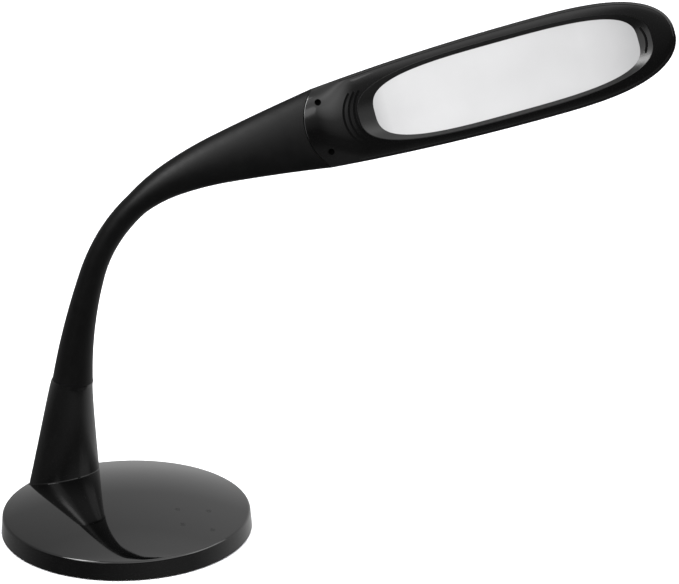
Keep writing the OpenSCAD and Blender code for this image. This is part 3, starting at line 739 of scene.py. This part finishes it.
# Touch marks: thin inlays that follow the dome
def touch_mark(index, place):
    x, y = front_at(BOARD_X + place[0], BOARD_Y + place[1])
    rings = []
    for r, lift in ((POINT_R, -MARK_DEPTH), (MARK_R, -MARK_DEPTH), (MARK_R, MARK_LIFT), (POINT_R, MARK_LIFT)):
        ring = circle(r, MARK_POINTS, 0, x, y)
        rings.append([(px, py, dome_z(math.hypot(px, py)) + lift) for px, py, _ in ring])
    mark = solid(f"touch_mark_{index}", rings)
    mark.data.materials.append(mark_black)
    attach(mark, "base")


for index, place in enumerate(MARK_PLACES):
    touch_mark(index, place)


# Neck: one soft skin in eight pieces, one round each hinge
def skin_place(s, angle, inset):
    """A place on the skin's outline, across the light panel and towards the head's back."""
    w, back, front = neck_section(s)
    c, n = math.cos(angle), math.sin(angle)
    return (w - inset) * c, ((back if n > 0 else front) - inset) * n


def seam_end(angle, inset):
    """Distance along the neck where a line of the skin meets the head's curved seam."""
    def before(s):
        y = skin_place(s, angle, inset)[0]
        return s - NECK_LEN < SEAM_X - math.sqrt((SEAM_R + SEAM_GAP) ** 2 - y * y)
    return bisect(*SEAM_RANGE, before)


def skin_ring(s0, t, ends, inset):
    """A ring of the skin, at the share t of the way from s0 to each line's own end."""
    ring = []
    for a, end in zip(turns(RING_POINTS), ends):
        s = s0 + (end - s0) * t
        ring.append(spoon(s, *skin_place(s, a, inset)))
    return ring


def neck_piece(k):
    """The skin round hinge k, up to half-way to the next hinge or, for the last, up to the head's seam."""
    last = k == HINGES
    middle = HINGE_FIRST + (k - 1) * HINGE_STEP
    s0 = NECK_START if k == 1 else middle - HINGE_STEP / 2
    steps = SHOULDER_STEPS if last else SLEEVE_STEPS
    rings = []
    for inset in (0.0, SLEEVE_T):
        ends = [seam_end(a, inset) if last else middle + HINGE_STEP / 2 for a in turns(RING_POINTS)]
        side = [skin_ring(s0, j / steps, ends, inset) for j in range(steps + 1)]
        rings += side if inset == 0 else side[::-1]
    piece = solid(f"neck_skin_{k}", rings, closed=True)
    nodes = [f"neck_sleeve_{k - 1}"] + (["neck_shoulder"] if last else [])
    dress(piece, soft_black, nodes)
    start, end = (Vector(spoon(middle + d, 0, 0)) * MM for d in (BLEND_HALF, -BLEND_HALF))
    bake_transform(piece)


for k in range(1, HINGES + 1):
    neck_piece(k)


# Head: rays from the panel's middle to the outline carry both the front and the back
def even_angles(count):
    """Angles whose places on the panel's opening are evenly spaced, with the seam's two corners."""
    fine = [2 * math.pi * i / RAY_STEPS for i in range(RAY_STEPS + 1)]
    places = [oval(OPENING_A, OPENING_B, OPENING_N, OPENING_X, a) for a in fine]
    run = [0.0]
    for p, q in zip(places, places[1:]):
        run.append(run[-1] + math.dist(p, q))
    angles, j = [], 0
    for i in range(count):
        while run[j + 1] < run[-1] * i / count:
            j += 1
        angles.append(fine[j])
    corner_x = bisect(-SEAM_R, SEAM_X, lambda x: math.hypot(x - SEAM_X, head_w(x)) > SEAM_R)
    along = (OPENING_X - corner_x) / OPENING_A
    across = head_w(corner_x) / OPENING_B
    corner = math.pi - math.atan((across / along) ** (OPENING_N / 2))
    return sorted(angles + [corner, 2 * math.pi - corner])


def outline(angle):
    """The head's outline on the ray through the opening's edge."""
    edge = oval(OPENING_A, OPENING_B, OPENING_N, 0, angle)
    reach = bisect(*RAY_RANGE, lambda t: in_head(OPENING_X + edge[0] * t, edge[1] * t))
    return OPENING_X + edge[0] * reach, edge[1] * reach


def lip(angle):
    """Inner and outer end of the panel's sloped wall: the panel's edge, and where it meets the front."""
    low = (*oval(PANEL_A, PANEL_B, PANEL_N, PANEL_X, angle), 0.0)
    high = (*oval(OPENING_A, OPENING_B, OPENING_N, OPENING_X, angle), -HEAD_FRONT)

    def under(t):
        x, y, z = mix(low, high, t)
        return z > front_z(x, y)
    return low, mix(low, high, bisect(*WALL_RANGE, under))


RAYS = even_angles(HEAD_RAYS)
EDGE = [outline(a) for a in RAYS]


def bezel_line(edge, low, high):
    """From the outline over the front and the rounded lip down the wall to the panel's edge."""
    flat = (high[0], high[1])
    gap = math.dist(edge, flat)
    line = [(*edge, 0.0)]
    for i in range(FRONT_STEPS + 1):
        x, y = mix(edge, flat, (1 - LIP / gap) * (i / FRONT_STEPS) ** CROWDING)
        line.append((x, y, front_z(x, y)))
    wall = mix(high, low, LIP / math.dist(high, low))
    before = line[-1]
    for i in range(1, LIP_STEPS):
        t = i / LIP_STEPS
        line.append(mix(mix(before, high, t), mix(high, wall, t), t))
    line += [mix(wall, low, i / LIP_STEPS) for i in range(LIP_STEPS + 1)]
    return line


lines = [bezel_line(edge, *lip(angle)) for angle, edge in zip(RAYS, EDGE)]
bezel_skin = solid("bezel_skin", list(zip(*lines)), closed=True, matrix=head_matrix)
cutters = [arc_block("vent", x + VENT_R, VENT_R, VENT_W, VENT_HALF, math.pi, VENT_FLOOR_Z) for x in VENT_X]
cutters.append(arc_block("tip_slot", TIP_X, TIP_R, TIP_W, TIP_HALF, 0, TIP_TOP_Z))
dimple_z = front_z(DIMPLE_X, 0) + DIMPLE_DEPTH
cutters.append(drum("dimple", DIMPLE_R, CUTTER_Z, dimple_z, DIMPLE_X, matrix=head_matrix))
for y in (-SCREW_Y, SCREW_Y):
    cutters.append(drum("screw_hole", SCREW_HOLE_R, CUTTER_Z, SCREW_SEAT_Z, SCREW_X, y, head_matrix))
    cutters.append(drum("screw_bore", SCREW_BORE_R, *SCREW_BORE_Z, SCREW_X, y, head_matrix))
cut(bezel_skin, cutters)
dress(bezel_skin, bezel_black, ["head_bezel"], 40)
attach(bezel_skin, "head")


def cover_side(edge, wall):
    """From the outline at the rim up over the back to its crest."""
    line = [(*edge, 0.0)]
    for i in range(BACK_STEPS + 1):
        x, y = mix(edge, (OPENING_X, 0.0), CREST_SHARE * (i / BACK_STEPS) ** CROWDING)
        line.append((x, y, back_z(x, y, wall)))
    return line


def inner_edge(edge):
    """The rim's inner edge: the outline drawn in by the rim's width."""
    reach = math.hypot(edge[0] - OPENING_X, edge[1])
    side = RIM_W / HEAD_HALF_W
    return mix(edge, (OPENING_X, 0.0), max(side, RIM_W / reach))


lines = [cover_side(inner_edge(edge), WALL)[::-1] + cover_side(edge, 0.0) for edge in EDGE]
cover_skin = solid("cover_skin", list(zip(*lines)), matrix=head_matrix)
dress(cover_skin, gloss_black, ["head_cover"])
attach(cover_skin, "head")


def on_rim(x, y):
    """True where a place of the outline lies on the head's sides or round its tip, not on the seam."""
    return x > RIM_TIP or (x > RIM_START and abs(y) > head_w(x) - RIM_NEAR)


def rim_line():
    """The line a little inside the outline, from one corner of the seam round the tip to the other."""
    middle = [k for k, edge in enumerate(EDGE) if on_rim(*edge)]
    first = next(k for k in range(len(EDGE)) if k not in middle)
    order = sorted(middle, key=lambda k: (k - first) % len(EDGE))
    places = []
    for k in order[2:-2]:
        (x0, y0), (x1, y1) = EDGE[k - 1], EDGE[(k + 1) % len(EDGE)]
        side = Vector((y0 - y1, x1 - x0, 0)).normalized()
        x, y = EDGE[k][0] + RIM_IN * side.x, EDGE[k][1] + RIM_IN * side.y
        places.append(((x, y, front_z(x, y)), side, (0, 0, 1)))
    return places


rim_bead = bead("rim_bead", rim_line(), RIM_BEAD_R, False, head_matrix)
dress(rim_bead, gloss_black, ["head_cover"])
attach(rim_bead, "head")


# Diffuser: opal slab with eased edges
def panel_ring(grow, z):
    """The panel's outline, grown sideways."""
    return [(*oval(PANEL_A + grow, PANEL_B + grow, PANEL_N, PANEL_X, a), z) for a in turns(PANEL_POINTS)]


slab = [
    (DIFFUSER_LAP - DIFFUSER_IN, DIFFUSER_GAP),
    (DIFFUSER_LAP - DIFFUSER_EDGE, DIFFUSER_GAP),
    (DIFFUSER_LAP, DIFFUSER_EDGE),
    (DIFFUSER_LAP, DIFFUSER_T - DIFFUSER_EDGE),
    (DIFFUSER_LAP - DIFFUSER_EDGE, DIFFUSER_T),
    (DIFFUSER_LAP - DIFFUSER_IN, DIFFUSER_T),
]
diffuser_skin = solid("diffuser_skin", [panel_ring(*row) for row in slab], matrix=head_matrix)
dress(diffuser_skin, opal, ["diffuser"])
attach(diffuser_skin, "head")


# Stage
def floor_plane():
    bpy.ops.mesh.primitive_plane_add(size=FLOOR_SIZE, location=(0, 0, -FLOOR_DROP))
    floor = bpy.context.object
    floor.name = "floor"
    material, shader = plain("floor_paper", Roughness=0.9)
    tint(material.node_tree, shader, 3, grey(0.86), grey(0.88))
    floor.data.materials.append(material)
    floor.visible_glossy = False


def softbox(name, place, target, width, height, power):
    light = bpy.data.lights.new(name, "AREA")
    light.shape = "RECTANGLE"
    light.size = width
    light.size_y = height
    light.energy = power
    obj = bpy.data.objects.new(name, light)
    obj.location = place
    obj.rotation_euler = (Vector(target) - Vector(place)).to_track_quat("-Z", "Y").to_euler()
    scene.collection.objects.link(obj)
    return obj


def sky(tree, height, stops):
    """Brightness of the studio by the height of the direction, from straight down to straight up."""
    return ramp_of(tree, height, greys([((z + 1) / 2, value) for z, value in stops]))


def surroundings():
    """A studio that is pale behind the lamp, dim behind the camera and brightest on the right."""
    world = bpy.data.worlds.new("studio")
    world.use_nodes = True
    scene.world = world
    tree = world.node_tree
    place = tree.nodes.new("ShaderNodeTexCoord")
    axes = tree.nodes.new("ShaderNodeSeparateXYZ")
    tree.links.new(place.outputs["Generated"], axes.inputs["Vector"])
    height = share(tree, axes.outputs["Z"], -1, 1)
    both = tree.nodes.new("ShaderNodeMix")
    tree.links.new(share(tree, axes.outputs["Y"], *NEAR_TO_FAR), both.inputs["Factor"])
    tree.links.new(sky(tree, height, NEAR_SKY), both.inputs["A"])
    tree.links.new(sky(tree, height, FAR_SKY), both.inputs["B"])
    side = share(tree, axes.outputs["X"], *LEFT_TO_RIGHT, *SIDE_SHARES)
    light = calc(tree, "MULTIPLY", both.outputs["Result"], side)
    tree.links.new(light, tree.nodes["Background"].inputs["Color"])


def photo_camera():
    data = bpy.data.cameras.new("photo_camera")
    data.sensor_width = SENSOR_W
    data.lens = FOCAL_PIXELS * SENSOR_W / PHOTO_W
    camera = bpy.data.objects.new("photo_camera", data)
    camera.location = CAMERA_AT
    camera.rotation_euler = (math.pi / 2 - CAMERA_DOWN, 0, 0)
    scene.collection.objects.link(camera)
    scene.camera = camera


floor_plane()
surroundings()
softbox("overhead", (0.1, 0.2, 2.6), (0.1, 0.05, 0), 3.0, 3.0, 70).visible_glossy = False
softbox("left_wide", (-0.64, -1.19, 0.85), (0.38, -0.06, 0.36), 0.8, 0.9, 3.6)
softbox("left_key", (-0.74, -0.66, 1.17), (0.38, -0.06, 0.36), 0.5, 0.7, 15)
softbox("right", (1.67, -0.13, 1.15), (0.15, 0, 0.2), 1.4, 0.9, 9.8)
photo_camera()
scene.view_settings.view_transform = "Standard"
